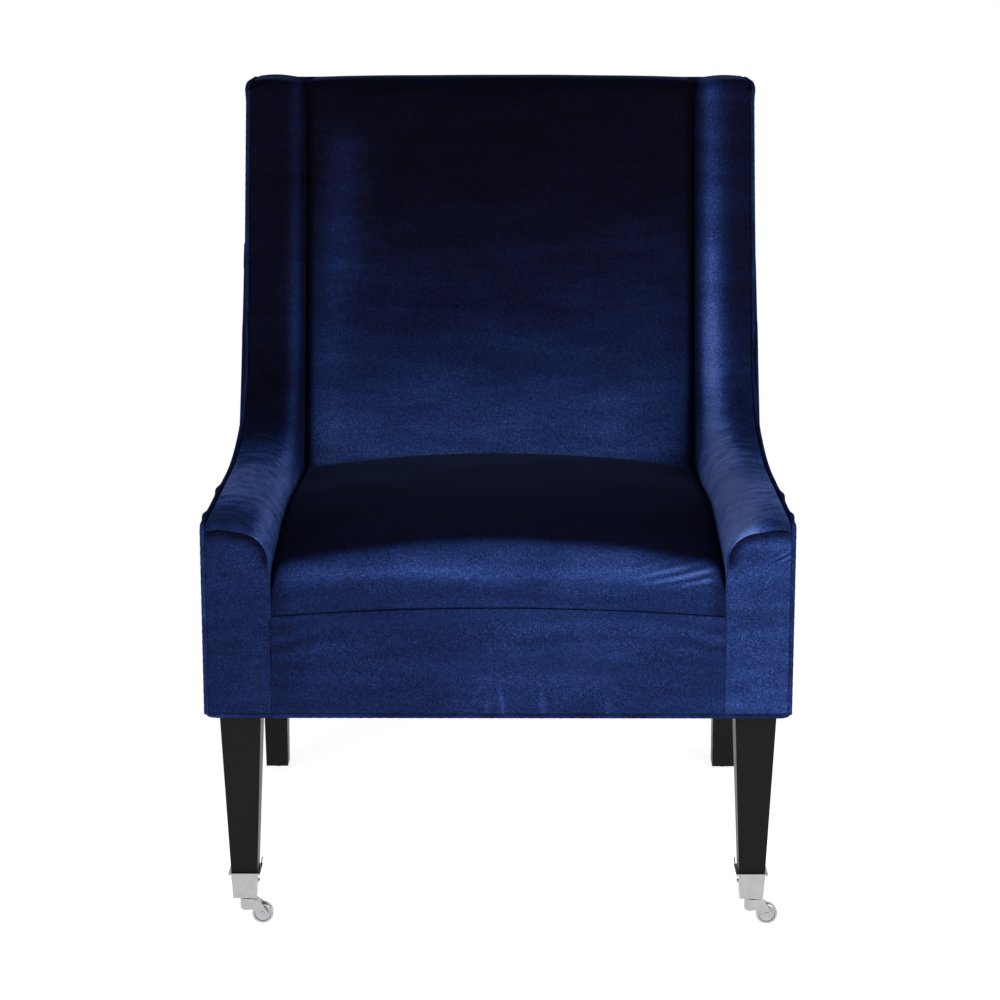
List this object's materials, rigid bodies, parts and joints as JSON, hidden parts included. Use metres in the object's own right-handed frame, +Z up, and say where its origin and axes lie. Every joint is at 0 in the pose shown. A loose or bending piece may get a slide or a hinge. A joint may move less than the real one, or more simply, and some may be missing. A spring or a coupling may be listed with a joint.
{
  "type": "upholstered armchair",
  "caption": "Slope-arm upholstered armchair with swept wings, tight seat and back, tapered front legs on cup castors and raked rear legs.",
  "frame": {"origin": "on the floor, under the middle of the chair's width and depth", "axes": "+Z up, the front of the chair faces -Y, +X to the viewer's right"},
  "size_m": [0.67, 0.75, 0.945],
  "materials": {
    "velvet": "short-pile crushed velvet, midnight blue",
    "frame_wood": "planed beech",
    "plywood": "birch plywood",
    "spring_steel": "bare spring steel",
    "hessian": "woven jute cloth",
    "webbing": "elastic webbing",
    "foam": "upholstery foam and wadding",
    "dust_cloth": "black non-woven cloth",
    "black_lacquer": "satin black lacquer on hardwood",
    "bolt_steel": "zinc-plated steel",
    "glide_plastic": "moulded plastic",
    "nickel_plate": "polished nickel plate"
  },
  "bodies": {
    "chair": {"front_rail": "frame_wood", "back_rail": "frame_wood", "left_side_rail": "frame_wood", "right_side_rail": "frame_wood", "corner_blocks": "frame_wood", "left_side_panel": "plywood", "right_side_panel": "plywood", "left_front_post": "frame_wood", "right_front_post": "frame_wood", "left_back_post": "frame_wood", "right_back_post": "frame_wood", "back_top_rail": "frame_wood", "back_cross_rail": "frame_wood", "left_tack_rail": "frame_wood", "right_tack_rail": "frame_wood", "seat_springs": "spring_steel", "spring_clips": "spring_steel", "platform_cloth": "hessian", "back_webbing": "webbing", "front_pad": "foam", "seat_foam": "foam", "back_foam": "foam", "left_arm_foam": "foam", "right_arm_foam": "foam", "seat_cover": "velvet", "front_border": "velvet", "inside_back_cover": "velvet", "left_inside_arm_cover": "velvet", "right_inside_arm_cover": "velvet", "left_arm_facing": "velvet", "right_arm_facing": "velvet", "left_outside_cover": "velvet", "right_outside_cover": "velvet", "outside_back_cover": "velvet", "left_piping": "velvet", "right_piping": "velvet", "bottom_welt": "velvet", "dust_cover": "dust_cloth", "dust_cover_staples": "spring_steel", "left_front_leg": "black_lacquer", "right_front_leg": "black_lacquer", "left_rear_leg": "black_lacquer", "right_rear_leg": "black_lacquer", "leg_bolts": "bolt_steel", "left_rear_glide": "glide_plastic", "right_rear_glide": "glide_plastic", "left_castor_cup": "nickel_plate", "right_castor_cup": "nickel_plate", "castor_screws": "nickel_plate", "left_castor_pintle": "nickel_plate", "right_castor_pintle": "nickel_plate"},
    "left_fork": {"left_castor_fork": "nickel_plate", "left_castor_axle": "nickel_plate"},
    "right_fork": {"right_castor_fork": "nickel_plate", "right_castor_axle": "nickel_plate"},
    "left_wheel": {"left_castor_wheel": "nickel_plate"},
    "right_wheel": {"right_castor_wheel": "nickel_plate"}
  },
  "joints": [
    {"name": "left_castor_swivel", "type": "hinge", "parent": "chair", "child": "left_fork", "pos_m": [-0.296, -0.33, 0.031], "axis": [0, 0, 1], "continuous": true},
    {"name": "left_castor_roll", "type": "hinge", "parent": "left_fork", "child": "left_wheel", "pos_m": [-0.2766, -0.33, 0.0125], "axis": [0, 1, 0], "continuous": true},
    {"name": "right_castor_swivel", "type": "hinge", "parent": "chair", "child": "right_fork", "pos_m": [0.296, -0.33, 0.031], "axis": [0, 0, 1], "continuous": true},
    {"name": "right_castor_roll", "type": "hinge", "parent": "right_fork", "child": "right_wheel", "pos_m": [0.3154, -0.33, 0.0125], "axis": [0, 1, 0], "continuous": true}
  ]
}
